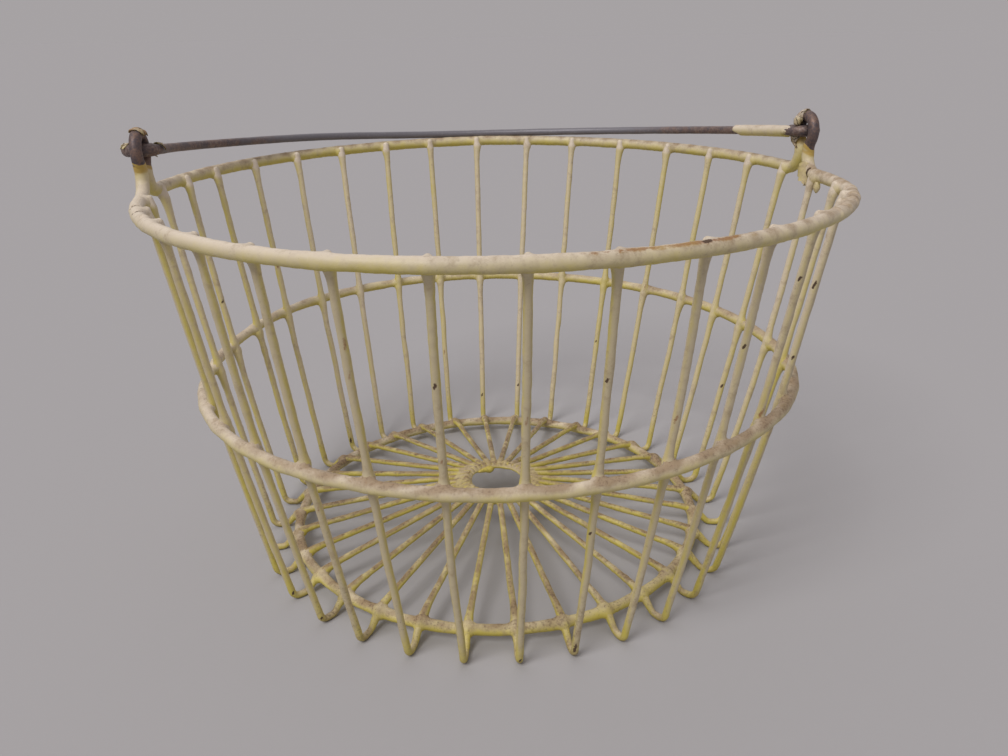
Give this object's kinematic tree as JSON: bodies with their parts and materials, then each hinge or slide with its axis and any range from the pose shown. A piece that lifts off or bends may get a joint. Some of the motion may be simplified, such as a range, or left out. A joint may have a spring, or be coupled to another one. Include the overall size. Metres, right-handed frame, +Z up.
{
  "type": "wire egg basket",
  "caption": "Round wire egg basket with a flared wall of upright wires on looped feet, a heavy rim with two ears, a raised floor of spokes round an open centre ring, and a swinging bail.",
  "frame": {"origin": "on the floor under the middle of the basket", "axes": "+X through the two ears, +Y towards the side where the bail lies folded, +Z up"},
  "size_m": [0.3946, 0.3823, 0.2535],
  "materials": {
    "coat": "thick dipped cream coat, worn and yellowed",
    "bail_steel": "bare darkened steel wire"
  },
  "bodies": {
    "basket": {"rim": "coat", "middle_hoop": "coat", "base_ring": "coat", "centre_washer": "coat", "stave_01": "coat", "stave_02": "coat", "stave_03": "coat", "stave_04": "coat", "stave_05": "coat", "stave_06": "coat", "stave_07": "coat", "stave_08": "coat", "stave_09": "coat", "stave_10": "coat", "stave_11": "coat", "stave_12": "coat", "stave_13": "coat", "stave_14": "coat", "stave_15": "coat", "stave_16": "coat", "stave_17": "coat", "stave_18": "coat", "stave_19": "coat", "stave_20": "coat", "stave_21": "coat", "stave_22": "coat", "stave_23": "coat", "stave_24": "coat", "stave_25": "coat", "stave_26": "coat", "stave_27": "coat", "stave_28": "coat", "stave_29": "coat", "stave_30": "coat", "stave_31": "coat", "stave_32": "coat"},
    "bail": {"bail": "bail_steel"}
  },
  "joints": [
    {"name": "bail_swing", "type": "hinge", "parent": "basket", "child": "bail", "pos_m": [0, 0, 0.2413], "axis": [1, 0, 0], "range_deg": [0, 190]}
  ]
}
